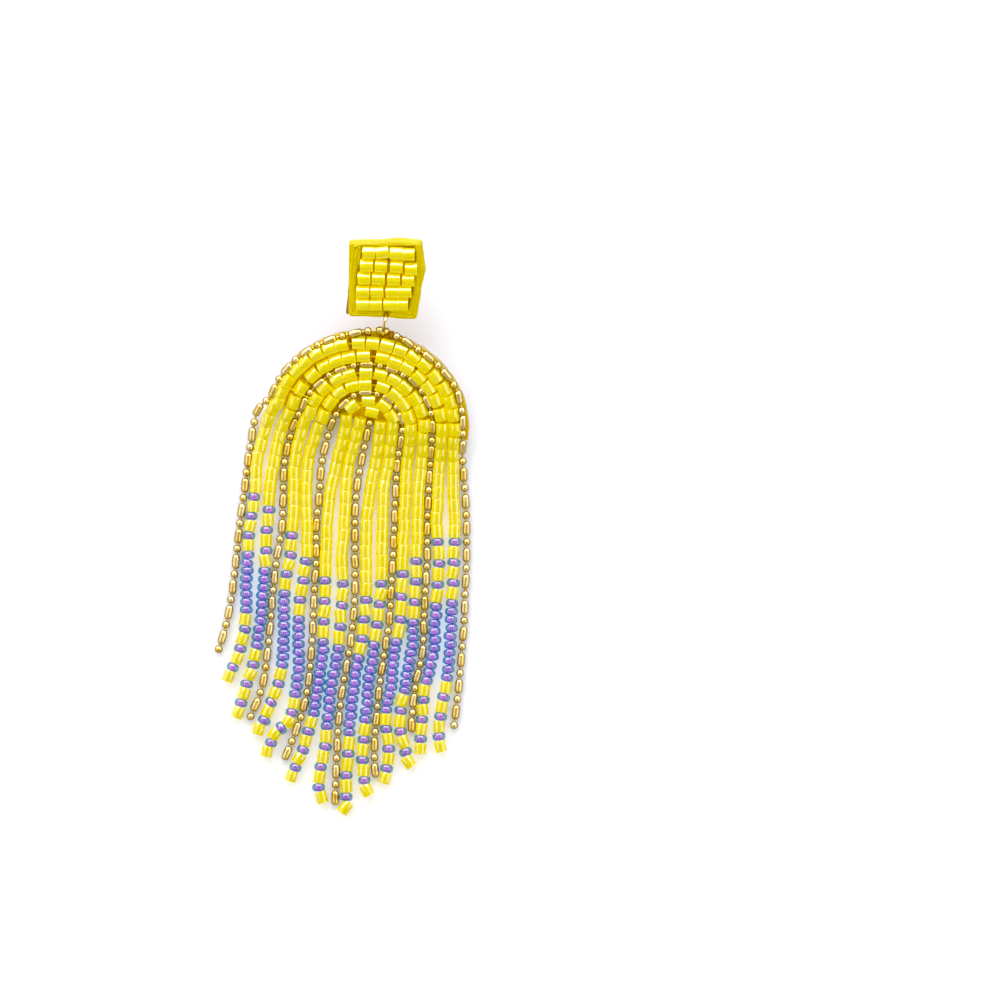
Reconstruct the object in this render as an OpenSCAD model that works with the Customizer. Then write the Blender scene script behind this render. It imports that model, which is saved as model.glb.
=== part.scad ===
// A beaded drop earring, lying face up: a square beaded stud, a jump ring and a beaded arch with a long bead fringe.
// +X is the wearer's view to the right, +Y runs from the fringe to the stud, +Z is up from the surface it lies on.

/* [Panels] */
// Slope of the two beaded panels, which lean on the ear post
panel_tilt = 20; // [17:1:22]
// Clockwise turn of the arch on the surface
panel_turn = 11; // [6:1:12]
// Thickness of the leather backings
backing_t = 0.8; // [0.6:0.1:1]
// Thickness of the felt bases
base_t = 0.9; // [0.7:0.1:1]
// Radius of the arch panel's edge
arch_r = 15.9; // [15.7:0.1:16.2]

/* [Beads] */
// Diameter of a yellow cylinder bead
bead_d = 1.8; // [1.6:0.05:1.8]
// Hole through a yellow bead
bead_bore = 0.7; // [0.6:0.1:0.9]
// Diameter of the sewing thread in the beads
thread_d = 0.3; // [0.2:0.05:0.35]
// Length of a yellow bead on the square
square_bead_l = 1.9; // [1.6:0.1:1.9]
// Diameter of the brass chain's balls and bars
chain_d = 1; // [0.8:0.05:1]

/* [Metal] */
// Diameter of the jump ring's wire
ring_wire = 0.7; // [0.5:0.05:0.75]
// Radius of the jump ring to the middle of its wire
ring_r = 1.95; // [1.9:0.01:2]
// Diameter of the ear post
post_d = 0.8; // [0.7:0.05:1]
// Diameter of the flat pad that fixes the post to the leather
post_pad_d = 5; // [4:0.5:6]
// Thickness of that pad
post_pad_t = 0.4; // [0.3:0.1:0.5]

/* [Hidden] */
$fn = 48;
seat = 0.05;
through = 0.5;
channel_gap = 0.1;
border_h = 0.6 * bead_d;
bead_r = bead_d / 2;
chain_r = chain_d / 2;
face_w = backing_t + base_t;
bead_w = face_w + seat + bead_r;
chain_w = face_w + seat + chain_r;
tube_sides = 8;
yellow = "#e8d40c";
brass = "#d9b45a";
tan_leather = "#a9784a";
thread_yellow = "#dcc91a";

// Where the middle of the arch's circles is, seen from above, at the height of the beads
arch_x = 3.1;
arch_y = 15.24;
// The arch panel is cut off straight along its lower edge, this far above that middle
arch_edge_v = 0.7;
// The middle of the square, across and up the panels
square_u = -0.92;
square_v = 24.93;
ring_u = 0.1;
ring_v = 16.95;

// Panel coordinates: u across, v up the slope, w out of the beaded face from the back of the leather
up_x = sin(panel_turn);
up_y = cos(panel_turn);
panel_lift = -arch_edge_v * sin(panel_tilt);
origin_x = arch_x + up_x * bead_w * sin(panel_tilt);
origin_y = arch_y + up_y * bead_w * sin(panel_tilt);
function rise(v, w) = v * cos(panel_tilt) - w * sin(panel_tilt);
function panel_point(u, v, w) = [
    origin_x + u * up_y + rise(v, w) * up_x,
    origin_y - u * up_x + rise(v, w) * up_y,
    panel_lift + v * sin(panel_tilt) + w * cos(panel_tilt)
];
module on_panel(u = 0, v = 0, w = 0)
    translate(panel_point(u, v, w))
        rotate([0, 0, -panel_turn])
            rotate([panel_tilt, 0, 0])
                children();

// A strand keeps the panel's slope until the surface stops it, and then lies there
settle_length = 0.6;
function slope_z(p, w) =
    panel_lift + ((p[0] - origin_x) * up_x + (p[1] - origin_y) * up_y) * tan(panel_tilt) + w / cos(panel_tilt);
function settle(over) = (over + sqrt(over * over + settle_length * settle_length)) / 2;
function laid(p, w, r) = [p[0], p[1], r + settle(slope_z(p, w) - r)];

// A smooth tube through the points of a route, two rings for each point
function between(a, b, c, d, t) =
    0.5 * (2 * b + (c - a) * t + (2 * a - 5 * b + 4 * c - d) * t * t + (3 * b - a - 3 * c + d) * t * t * t);
function pick(route, i) = route[max(0, min(len(route) - 1, i))];
function smooth(route) = concat(
    [for (i = [0:len(route) - 2], t = [0, 0.5])
        between(pick(route, i - 1), pick(route, i), pick(route, i + 1), pick(route, i + 2), t)],
    [route[len(route) - 1]]
);
function unit(a) = a / norm(a);
function ring_at(path, i, r) =
    let (
        along = unit(pick(path, i + 1) - pick(path, i - 1)),
        side = unit(cross(along, [0, 0, 1])),
        top = cross(side, along)
    )
    [for (k = [0:tube_sides - 1])
        let (a = (k + 0.5) * 360 / tube_sides)
            path[i] + r * (cos(a) * side + sin(a) * top)];
module tube(route, r) {
    path = smooth(route);
    last = len(path) - 1;
    points = [for (i = [0:last]) each ring_at(path, i, r)];
    walls = [for (i = [0:last - 1], k = [0:tube_sides - 1])
        let (
            a = i * tube_sides + k,
            b = i * tube_sides + (k + 1) % tube_sides
        )
        each [[a, b, b + tube_sides], [a, b + tube_sides, a + tube_sides]]];
    caps = [
        [for (k = [tube_sides - 1:-1:0]) k],
        [for (k = [0:tube_sides - 1]) last * tube_sides + k]
    ];
    polyhedron(points, concat(walls, caps), convexity = 8);
}

// A cylinder bead with its hole, lying along X
module bead(length)
    rotate([0, 90, 0])
        difference() {
            cylinder(h = length, d = bead_d, center = true);
            cylinder(h = length + 2 * through, d = bead_bore, center = true);
        }

// The square's outlines run round from its upper left corner, in a frame that undoes the arch's turn.
// Its beaded face is smaller than its base at the lower side, where the jump ring passes.
square_outline = [
    [-5.6, 5.5], [-2, 5.75], [1.7, 6.05], [4.8, 5.75], [5.35, 5.3], [5.7, 3.2],
    [6.05, 1.15], [5.5, -1.6], [4.9, -4.4], [4.5, -6.5], [-5.3, -6.3], [-5.8, -5.8], [-5.8, -1.6]
];
base_outline = [
    [-5.5, 5.6], [1.7, 6.2], [5.2, 5.6], [5.95, 1.15], [4.8, -4.4], [4.35, -6.9], [-0.4, -7.1], [-5.5, -6.7]
];
field_outline = [
    [-4, 5.12], [4.45, 5.12], [4.9, 3], [4.85, 1], [4.3, -1], [4.1, -3.4], [3.6, -5.35],
    [-4.95, -5.35], [-5, -1.6], [-4.85, 0.9], [-4.4, 2.9]
];
// Each row of the square: how far up, middle across, spacing of its four beads, slope in degrees
square_rows = [
    [4.11, 0.2, 2.07, -1],
    [1.97, 0.23, 2.2, -2],
    [-0.16, -0.23, 2.2, -1.5],
    [-2.3, -0.46, 2.17, 0.5],
    [-4.38, -0.74, 2.02, 0.5]
];
square_row_beads = 4;
backing_shift = [-0.35, -0.25];
module on_square(w = 0)
    on_panel(square_u, square_v, w)
        rotate([0, 0, panel_turn])
            children();
// The channel that the jump ring passes through, with room round the wire
module ring_channel()
    on_panel(ring_u, ring_v, face_w / 2)
        rotate([0, 90, 0])
            rotate_extrude()
                translate([ring_r, 0])
                    circle(d = ring_wire + 2 * channel_gap);

module square_backing()
    color(tan_leather)
        difference() {
            on_square()
                linear_extrude(backing_t)
                    translate(backing_shift)
                        polygon(base_outline);
            ring_channel();
        }
module square_base()
    color(yellow)
        difference() {
            on_square(backing_t)
                linear_extrude(base_t)
                    polygon(base_outline);
            ring_channel();
        }
// A raised frame of wrapped thread round the beads, parted where the jump ring lies over it
module square_border()
    color(thread_yellow)
        difference() {
            on_square(face_w)
                linear_extrude(border_h)
                    difference() {
                        polygon(square_outline);
                        polygon(field_outline);
                    }
            on_panel(ring_u, ring_v, face_w)
                translate([-ring_wire, 0, -through])
                    cube([2 * ring_wire, ring_r + ring_wire, border_h + 2 * through]);
        }
module square_beads()
    color(yellow)
        for (row = square_rows)
            on_square(bead_w)
                translate([row[1], row[0], 0])
                    rotate([0, 0, row[3]])
                        for (i = [0:square_row_beads - 1])
                            translate([(i - (square_row_beads - 1) / 2) * row[2], 0, 0])
                                bead(square_bead_l);
module square_thread()
    color(thread_yellow)
        for (row = square_rows)
            on_square(bead_w)
                translate([row[1], row[0], 0])
                    rotate([0, 0, row[3]])
                        rotate([0, 90, 0])
                            cylinder(h = square_row_beads * row[2], d = thread_d, center = true);

// The post's round end stands on the surface and carries the upper end of the panels
post_rise = panel_lift + square_v * sin(panel_tilt);
post_l = post_d / 2 + (post_rise - post_d / 2) / cos(panel_tilt);
module ear_post()
    color(brass)
        on_panel(square_u, square_v, 0)
            mirror([0, 0, 1]) {
                cylinder(h = post_pad_t, d = post_pad_d);
                cylinder(h = post_l - post_d / 2, d = post_d);
                translate([0, 0, post_l - post_d / 2])
                    sphere(d = post_d);
            }
module jump_ring()
    color(brass)
        on_panel(ring_u, ring_v, face_w / 2)
            rotate([0, 90, 0])
                rotate_extrude()
                    translate([ring_r, 0])
                        circle(d = ring_wire);

// Rows of the arch: radius, shift of the circle's middle across, first and last bead's angle, beads, bead length
arch_rows = [
    [13.95, 0.05, 172, 10.5, 19, 1.9],
    [11.8, 0.25, 169.8, 11, 15, 1.9],
    [8.97, 0.25, 174, 14.5, 12, 1.9],
    [6.92, 0.45, 174, 10, 10, 1.8],
    [3.97, 0.57, 140, 41, 4, 1.7],
    [1.9, 0.75, 90, 90, 1, 1.8]
];
arch_shift = 0.3;
module arch_plate(thickness)
    linear_extrude(thickness)
        intersection() {
            translate([arch_shift, 0])
                circle(r = arch_r, $fn = 96);
            translate([-arch_r - 2, arch_edge_v])
                square([2 * arch_r + 4, 2 * arch_r]);
        }
module arch_backing()
    color(tan_leather)
        difference() {
            on_panel()
                arch_plate(backing_t);
            ring_channel();
        }
module arch_base()
    color(yellow)
        difference() {
            on_panel(0, 0, backing_t)
                arch_plate(base_t);
            ring_channel();
        }
function row_step(row) = row[4] > 1 ? (row[2] - row[3]) / (row[4] - 1) : 0;
module arch_row(n) {
    row = arch_rows[n - 1];
    color(yellow)
        for (i = [0:row[4] - 1])
            on_panel(row[1], 0, bead_w)
                rotate([0, 0, row[2] - i * row_step(row) - 90])
                    translate([0, row[0], 0])
                        bead(row[5]);
}
// A thread ends inside its last beads, this share of their spacing past their middles
thread_reach = 0.42;
module arch_thread()
    color(thread_yellow)
        for (row = arch_rows)
            on_panel(row[1], 0, bead_w)
                if (row[4] > 1)
                    rotate([0, 0, row[3] - row_step(row) * thread_reach])
                        rotate_extrude(angle = row[2] - row[3] + 2 * row_step(row) * thread_reach, $fn = 96)
                            translate([row[0], 0])
                                circle(d = thread_d, $fn = 24);
                else
                    translate([0, row[0], 0])
                        rotate([0, 90, 0])
                            cylinder(h = row[5] + thread_d, d = thread_d, center = true);

// Arcs of the brass chain on the arch: radius, extra height at the crown, shift across, left and right angle, steps
rim_left_arc = [15.5, 0.4, 0, 172, 91.5, 14];
rim_right_arc = [15.5, 0.4, 0, 82, 8, 13];
middle_arc = [10.42, 0, 0.25, 174, 7, 14];
inner_arc = [5.42, 0, 0.58, 176, 4, 9];
function arc_route(arc) = [for (i = [0:arc[5]])
    let (
        a = arc[3] + (arc[4] - arc[3]) * i / arc[5],
        r = arc[0] + arc[1] * pow(sin(a), 2)
    )
    panel_point(arc[2] + r * cos(a), r * sin(a), chain_w)];
function hung(points, w, r) = [for (p = points) laid(p, w, r)];
function backwards(points) = [for (i = [len(points) - 1:-1:0]) points[i]];
module chain(route)
    color(brass)
        tube(route, chain_r);

// Hanging ends of the chains, from where they leave the arch down to their tips, seen from above
rim_left_end = [
    [-13.3, 18], [-14.1, 15], [-14.9, 10], [-15.5, 5], [-16.2, 0], [-16.7, -5], [-17.3, -10], [-18.2, -15], [-19.6, -19.7]
];
rim_right_end = [
    [18.4, 10], [18.8, 5], [19, 0], [19, -5], [18.8, -10], [18.6, -15], [18.2, -20], [17.8, -25], [17, -31.5]
];
middle_left_end = [
    [-7.3, 16.8], [-8, 15], [-9.2, 10], [-9.4, 5], [-9.6, 0], [-10.4, -5], [-11, -10], [-11.4, -15], [-11.9, -20],
    [-12.7, -25], [-14.7, -30.1]
];
middle_right_end = [
    [13.4, 10], [13.1, 5], [12.9, 0], [12.9, -5], [12.6, -10], [12.4, -15], [12.1, -20], [11, -25], [10.45, -31.5]
];
inner_left_end = [
    [-2.2, 15], [-3.4, 10], [-3.8, 5], [-4.3, 0], [-4.3, -5], [-4.6, -10], [-4.8, -15], [-5.1, -20], [-5.6, -25],
    [-6.8, -30], [-9.3, -36.3]
];
inner_right_end = [
    [8.3, 10], [8, 5], [7.8, 0], [7.6, -5], [7.3, -10], [7, -15], [6.2, -20], [5.5, -25], [5, -30], [4.7, -35], [4.9, -39]
];
center_end = [
    [4, 15.9], [2.7, 10], [1.9, 5], [1.7, 0], [1.7, -5], [1.7, -10], [1.4, -15], [0.7, -20], [-0.2, -25], [-0.8, -30],
    [-1.1, -35], [-1.3, -40], [-1.4, -43.3]
];
module chain_rim_left() chain(concat(backwards(hung(rim_left_end, chain_w, chain_r)), arc_route(rim_left_arc)));
module chain_rim_right() chain(concat(arc_route(rim_right_arc), hung(rim_right_end, chain_w, chain_r)));
module chain_middle() chain(concat(
    backwards(hung(middle_left_end, chain_w, chain_r)),
    arc_route(middle_arc),
    hung(middle_right_end, chain_w, chain_r)
));
module chain_inner() chain(concat(
    backwards(hung(inner_left_end, chain_w, chain_r)),
    arc_route(inner_arc),
    hung(inner_right_end, chain_w, chain_r)
));
module chain_center() chain(hung(center_end, chain_w, chain_r));

// The fringe's bead strings from left to right, each from its row of the arch down to its tip, seen from above
string_ends = [
    [[-10.5, 18.6], [-12.4, 15], [-13.4, 10], [-13.8, 5], [-14.5, 0], [-14.9, -5], [-15.1, -10], [-15.3, -15],
        [-16.4, -20], [-18.3, -24.1]],
    [[-8.2, 18.1], [-9.7, 15], [-10.8, 10], [-11.5, 5], [-11.9, 0], [-12.2, -5], [-12.5, -10], [-13, -15],
        [-13.7, -20], [-15.2, -25], [-16.7, -29.8]],
    [[-5.7, 16.7], [-6.4, 15], [-7.3, 10], [-7.7, 5], [-8, 0], [-8.4, -5], [-9.2, -10], [-9.4, -15], [-9.3, -20],
        [-10.3, -25], [-12.4, -30], [-13.6, -32.3]],
    [[-3.6, 15.8], [-4.1, 14.5], [-5.1, 10], [-5.8, 5], [-5.9, 0], [-5.8, -5], [-6.6, -10], [-7, -15], [-7, -20],
        [-7.3, -25], [-8.4, -30], [-10.8, -32.4], [-12.2, -35.8]],
    [[0.2, 16.8], [0, 15], [-1.4, 10], [-2.3, 5], [-2.7, 0], [-2.8, -5], [-2.9, -10], [-3.1, -15], [-3.3, -20],
        [-4.1, -25], [-5, -30], [-6.5, -35], [-8.5, -39.6]],
    [[2.5, 16.1], [2.3, 15], [0.6, 10], [-0.2, 5], [-0.3, 0], [-0.3, -5], [-0.1, -10], [-0.6, -15], [-1, -20],
        [-1.9, -25], [-2.5, -30], [-3.1, -35], [-3.9, -40], [-3.2, -43]],
    [[5.6, 15.7], [4.8, 10], [3.9, 5], [3.4, 0], [3.4, -5], [3.4, -10], [3.1, -15], [2.3, -20], [1.5, -25], [1, -30],
        [0.7, -35], [0.4, -40], [0.2, -44.7]],
    [[7.6, 15.6], [6.8, 10], [6, 5], [5.9, 0], [5.9, -5], [5.8, -10], [5.2, -15], [4.5, -20], [3.8, -25], [3.4, -30],
        [2.9, -35], [3.3, -40], [4, -41.8]],
    [[10.35, 13.9], [9.8, 10], [9.5, 5], [9.3, 0], [9.1, -5], [9, -10], [8.7, -15], [7.8, -20], [7.2, -25],
        [6.5, -30], [7, -35], [6.2, -40]],
    [[12.3, 14.5], [12, 10], [11.6, 5], [11.4, 0], [11.3, -5], [11, -10], [10.8, -15], [10.4, -20], [9.4, -25],
        [8.7, -30], [9.5, -35], [10.4, -37.5]],
    [[15.1, 13.95], [14.9, 10], [14.6, 5], [14.4, 0], [14.8, -5], [14.4, -10], [14.1, -15], [13.8, -20], [12.5, -25],
        [12.1, -30], [11.8, -35.4]],
    [[17.05, 13.85], [16.9, 10], [17, 5], [17.2, 0], [17, -5], [16.8, -10], [16.6, -15], [16.4, -20], [15.8, -25],
        [14.8, -30], [15, -35.1]]
];
module bead_string(n)
    color(yellow)
        tube(hung(string_ends[n - 1], bead_w, bead_r), bead_r);

square_backing();
square_base();
square_border();
square_beads();
square_thread();
ear_post();
jump_ring();
arch_backing();
arch_base();
arch_row(1);  // arch_row_1
arch_row(2);  // arch_row_2
arch_row(3);  // arch_row_3
arch_row(4);  // arch_row_4
arch_row(5);  // arch_row_5
arch_row(6);  // arch_row_6
arch_thread();
chain_rim_left();
chain_rim_right();
chain_middle();
chain_inner();
chain_center();
bead_string(1);  // bead_string_1
bead_string(2);  // bead_string_2
bead_string(3);  // bead_string_3
bead_string(4);  // bead_string_4
bead_string(5);  // bead_string_5
bead_string(6);  // bead_string_6
bead_string(7);  // bead_string_7
bead_string(8);  // bead_string_8
bead_string(9);  // bead_string_9
bead_string(10);  // bead_string_10
bead_string(11);  // bead_string_11
bead_string(12);  // bead_string_12
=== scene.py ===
import math
import random

import bpy
import numpy as np
from mathutils import Matrix


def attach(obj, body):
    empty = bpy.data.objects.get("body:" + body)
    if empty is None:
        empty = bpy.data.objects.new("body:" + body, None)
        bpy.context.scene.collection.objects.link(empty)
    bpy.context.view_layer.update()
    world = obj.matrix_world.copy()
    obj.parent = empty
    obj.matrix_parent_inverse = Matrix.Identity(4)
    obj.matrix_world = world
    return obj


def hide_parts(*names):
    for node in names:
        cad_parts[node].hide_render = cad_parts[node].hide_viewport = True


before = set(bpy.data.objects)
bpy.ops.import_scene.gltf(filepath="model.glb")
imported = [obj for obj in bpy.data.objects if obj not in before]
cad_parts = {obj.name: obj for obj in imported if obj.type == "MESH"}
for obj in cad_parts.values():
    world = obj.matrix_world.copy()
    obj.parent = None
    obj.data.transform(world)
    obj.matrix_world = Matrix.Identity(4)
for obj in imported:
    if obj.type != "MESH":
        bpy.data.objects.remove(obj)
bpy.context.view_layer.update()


# Leather backings.
# Two pieces of tan leather close the backs of the square stud and of the arch. They are cut a little
# unevenly with scissors, so the edge of the square's shows along its lower left side.
class Value:
    """A number that varies over a surface. Arithmetic on it adds Math nodes."""

    def __init__(self, finish, socket):
        self.finish, self.socket = finish, socket

    def worked_out(self, operation, other):
        return self.finish.node("ShaderNodeMath", {"operation": operation}, {0: self, 1: other})

    def __add__(self, other):
        return self.worked_out("ADD", other)

    def __mul__(self, other):
        return self.worked_out("MULTIPLY", other)

    __radd__, __rmul__ = __add__, __mul__


class Finish:
    """A material in the making: its constants sit on the shader's own sockets."""

    def __init__(self, name, **constants):
        self.material = bpy.data.materials.new(name)
        self.shade(self.material, "Principled BSDF")
        self.set(**constants)

    def shade(self, owner, shader):
        """Makes the owner's nodes the ones to work on, with its main shader."""
        owner.use_nodes = True
        self.tree = owner.node_tree
        self.shader = self.tree.nodes[shader]

    def node(self, kind, settings=None, inputs=None, output=0):
        made = self.tree.nodes.new(kind)
        for key, value in (settings or {}).items():
            if key == "stops":
                ramp = made.color_ramp
                while len(ramp.elements) < len(value):
                    ramp.elements.new(0.5)
                for element, (place, colour) in zip(ramp.elements, value):
                    element.position, element.color = place, (*colour, 1)
            else:
                setattr(made, key, value)
        for key, value in (inputs or {}).items():
            self.feed(made.inputs[key], value)
        return Value(self, made.outputs[output])

    def feed(self, socket, value):
        if isinstance(value, Value):
            self.tree.links.new(value.socket, socket)
        else:
            socket.default_value = value

    def noise(self, place, scale, detail=3.0, roughness=0.5):
        return self.node("ShaderNodeTexNoise", None,
                         {"Vector": place, "Scale": scale, "Detail": detail, "Roughness": roughness})

    def blend(self, share, first, second):
        return self.node("ShaderNodeMix", {"data_type": "RGBA"}, {0: share, 6: first, 7: second}, output=2)

    def ramp(self, value, stops):
        return self.node("ShaderNodeValToRGB", {"stops": stops}, {"Fac": value})

    def set(self, **sockets):
        for socket, value in sockets.items():
            self.feed(self.shader.inputs[socket.replace("_", " ")], value)

    def stored(self, name, output):
        """What the mesh stores for each of its points under a name."""
        return self.node("ShaderNodeAttribute", {"attribute_name": name}, output=output)

    def facing_up(self):
        """1 where the surface faces straight up, 0 where it stands upright."""
        normal = self.node("ShaderNodeTexCoord", output="Normal")
        return self.node("ShaderNodeSeparateXYZ", None, {"Vector": normal}, output="Z")

    def falling(self, value, top, bottom):
        """1 up to the first of two levels of a value, falling to 0 at the second."""
        return self.node("ShaderNodeMapRange", None, {0: value, 1: top, 2: bottom, 3: 1.0, 4: 0.0})

    def let_light_through(self, share, tint, bounced_share=0.0):
        """Each surface passes a share of the lamps' light on, tinted, and a share of the bounced light."""
        lamp_light = self.node("ShaderNodeLightPath", output="Is Shadow Ray")
        bounced = self.node("ShaderNodeLightPath", output="Is Diffuse Ray")
        clear = self.node("ShaderNodeBsdfTransparent", None, {"Color": (*tint, 1)})
        whole = self.node("ShaderNodeMixShader", None,
                          {0: lamp_light * share + bounced * bounced_share,
                           1: Value(self, self.shader.outputs[0]), 2: clear})
        self.feed(self.tree.nodes["Material Output"].inputs["Surface"], whole)

    def bump(self, height, distance, strength=1.0):
        relief = {"Height": height, "Distance": distance, "Strength": strength}
        self.set(Normal=self.node("ShaderNodeBump", None, relief))


MM = 0.001
# Square and arch lie on one slope, as in the CAD: thicknesses, strand sizes, then heights over their backs
panel_tilt, panel_turn = math.radians(20), math.radians(11)
backing_t, base_t, seat = 0.8, 0.9, 0.05
bead_r, chain_r = 0.9, 0.5
face_w = backing_t + base_t
bead_w = face_w + seat + bead_r
chain_w = face_w + seat + chain_r
arch_x, arch_y, arch_edge_v = 3.1, 15.24, 0.7
up_x, up_y = math.sin(panel_turn), math.cos(panel_turn)
panel_lift = -arch_edge_v * math.sin(panel_tilt)
origin_x = arch_x + up_x * bead_w * math.sin(panel_tilt)
origin_y = arch_y + up_y * bead_w * math.sin(panel_tilt)


def panel_point(u, v, w):
    """A point of the sloping panels in millimetres: u across, v up the slope, w out of the beaded face."""
    rise = v * math.cos(panel_tilt) - w * math.sin(panel_tilt)
    return np.array([origin_x + u * up_y + rise * up_x, origin_y - u * up_x + rise * up_y,
                     panel_lift + v * math.sin(panel_tilt) + w * math.cos(panel_tilt)])


panel_out = panel_point(0, 0, 1) - panel_point(0, 0, 0)
square_u, square_v = -0.92, 24.93


def square_point(a, b, w):
    """A point of the square, in its own frame that undoes the arch's turn."""
    return panel_point(square_u + a * up_y - b * up_x, square_v + a * up_x + b * up_y, w)


def arch_point(a, b, w):
    """A point of the arch, seen from the middle of its plate."""
    return panel_point(arch_shift + a, plate_v + b, w)


def reach(outline, angle):
    """How far a closed outline is from its frame's middle in one direction."""
    cos, sin = math.cos(angle), math.sin(angle)
    for (ax, ay), (bx, by) in zip(outline, outline[1:] + outline[:1]):
        facing = (by - ay) * cos - (bx - ax) * sin
        if abs(facing) > 1e-9:
            far = (ax * (by - ay) - ay * (bx - ax)) / facing
            share = (ax * sin - ay * cos) / facing
            if far > 0 and -1e-6 <= share <= 1 + 1e-6:
                return far


def sheet(point, outline, low, high, lumps, rounding=0.3, steps=180):
    """A soft sheet cut to an outline, with its faces at two heights and a rounded, slightly wavy edge."""
    wave = [chance.uniform(0, 6.28) for _ in range(3)]
    middle = (low + high) / 2
    # Rows of points: how far in from the edge, or else the share of the way out to it, and the height
    rows = [(None, share, high) for share in (0.3, 0.6, 0.85)]
    rows += [(1.2 * rounding, 1, high), (0.5 * rounding, 1, high - 0.12 * rounding),
             (0.15 * rounding, 1, high - 0.4 * rounding), (0, 1, middle),
             (0.1 * rounding, 1, low + 0.3 * rounding), (0.5 * rounding, 1, low)]
    rows += [(None, share, low) for share in (0.85, 0.6, 0.3)]
    verts, grain = [], []
    for inset, share, w in rows:
        for k in range(steps):
            angle = 2 * math.pi * k / steps
            far = reach(outline, angle)
            far += lumps * (math.sin(9 * angle + wave[0]) + math.sin(23 * angle + wave[1]))
            far = far * share if inset is None else far - inset
            rise = 0.3 * lumps * math.sin(5 * far + 7 * angle + wave[2]) if w != low else 0
            verts.append(point(far * math.cos(angle), far * math.sin(angle), w + rise))
            grain.append((far * math.cos(angle), far * math.sin(angle), w))
    faces = []
    for i in range(len(rows) - 1):
        for k in range(steps):
            a, b = i * steps + k, i * steps + (k + 1) % steps
            faces.append((a, a + steps, b + steps, b))
    last = (len(rows) - 1) * steps
    verts += [point(0, 0, high), point(0, 0, low)]
    grain += [(0, 0, high), (0, 0, low)]
    faces += [(len(verts) - 2, k, (k + 1) % steps) for k in range(steps)]
    faces += [(len(verts) - 1, last + (k + 1) % steps, last + k) for k in range(steps)]
    return np.array(verts), faces, np.array(grain)


def joined(name, parts, finishes):
    """One piece of many parts: each has its shape in millimetres, where it goes, and its finish's number."""
    verts, faces, grain, tone, number = [], [], [], [], []
    count = 0
    for shape, (turn, shift), finish in parts:
        points, polygons, local = shape
        verts.append(points @ np.array(turn).T + shift)
        faces += [tuple(count + k for k in polygon) for polygon in polygons]
        grain.append(local + [chance.uniform(0, 40) for _ in range(3)])
        tone += [chance.random()] * len(points)
        number += [finish] * len(polygons)
        count += len(points)
    mesh = bpy.data.meshes.new(name)
    mesh.from_pydata((np.concatenate(verts) * MM).tolist(), [], faces)
    for finish in finishes:
        mesh.materials.append(finish.material)
    mesh.polygons.foreach_set("material_index", number)
    mesh.polygons.foreach_set("use_smooth", [True] * len(faces))
    mesh.set_sharp_from_angle(angle=math.radians(38))
    mesh.attributes.new("tone", "FLOAT", "POINT").data.foreach_set("value", tone)
    grain = np.concatenate(grain).ravel()
    mesh.attributes.new("grain", "FLOAT_VECTOR", "POINT").data.foreach_set("vector", grain)
    piece = bpy.data.objects.new(name, mesh)
    bpy.context.scene.collection.objects.link(piece)
    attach(piece, "root")
    return piece


def shrunk(outline, by):
    """An outline drawn in towards its middle by a distance."""
    return [(x - by * x / math.hypot(x, y), y - by * y / math.hypot(x, y)) for x, y in outline]


chance = random.Random(7)
as_made = (np.eye(3), np.zeros(3))
# The square's leather and felt run round from their upper left corners
leather_outline = [(-5.5, 4.9), (1.7, 5.4), (4.8, 4.9), (5.4, 1.15), (4.5, -4.4), (4.1, -6.7), (-0.4, -6.8),
                   (-6.6, -6.75), (-5.85, 0)]
felt_outline = [(-5.4, 5.1), (1.7, 5.7), (4.9, 5.2), (5.6, 1.15), (4.7, -4.4), (4.25, -6.6), (-0.4, -6.7),
                (-5.5, -6.35)]
# The arch's plate: a circle cut off straight below, wider at its right end than at its crown
arch_shift, plate_v, crown_r, side_r = 0.3, 6, 15.55, 16
arch_outline = [(-crown_r, arch_edge_v - plate_v), (side_r, arch_edge_v - plate_v)]
for i in range(61):
    a = math.radians(3 + 174 * i / 60)
    far = crown_r + (side_r - crown_r) * max(0, math.cos(a)) ** 2
    arch_outline.append((far * math.cos(a), far * math.sin(a) - plate_v))

leather = Finish("tan_leather", Roughness=0.62, Specular_IOR_Level=0.35)
place = leather.node("ShaderNodeTexCoord", output="Object")
mottle = leather.noise(place, 260, 4)
pores = leather.node("ShaderNodeTexVoronoi", {"feature": "DISTANCE_TO_EDGE"},
                     {"Vector": place, "Scale": 2600})
grain = leather.noise(place, 5200, 2)
hide = leather.ramp(mottle, [(0.3, (0.24, 0.12, 0.045)), (0.7, (0.4, 0.22, 0.1))])
leather.set(Base_Color=leather.blend(grain * 0.35, hide, (0.5, 0.31, 0.16, 1)),
            Roughness=0.55 + 0.2 * mottle)
creased = leather.node("ShaderNodeMath", {"operation": "MINIMUM"}, {0: pores, 1: 0.14})
leather.bump(creased * 3 + grain * 0.3, 0.05 * MM)
leather_lumps, leather_rounding, arch_leather_inset = 0.03, 0.15, 0.3
square_cut = sheet(square_point, leather_outline, 0, backing_t, leather_lumps, leather_rounding)
square_leather = joined("square_leather", [(square_cut, as_made, 0)], [leather])
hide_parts("square_backing")
arch_cut = sheet(arch_point, shrunk(arch_outline, arch_leather_inset), 0, backing_t, leather_lumps,
                 leather_rounding)
arch_leather = joined("arch_leather", [(arch_cut, as_made, 0)], [leather])
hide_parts("arch_backing")

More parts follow.
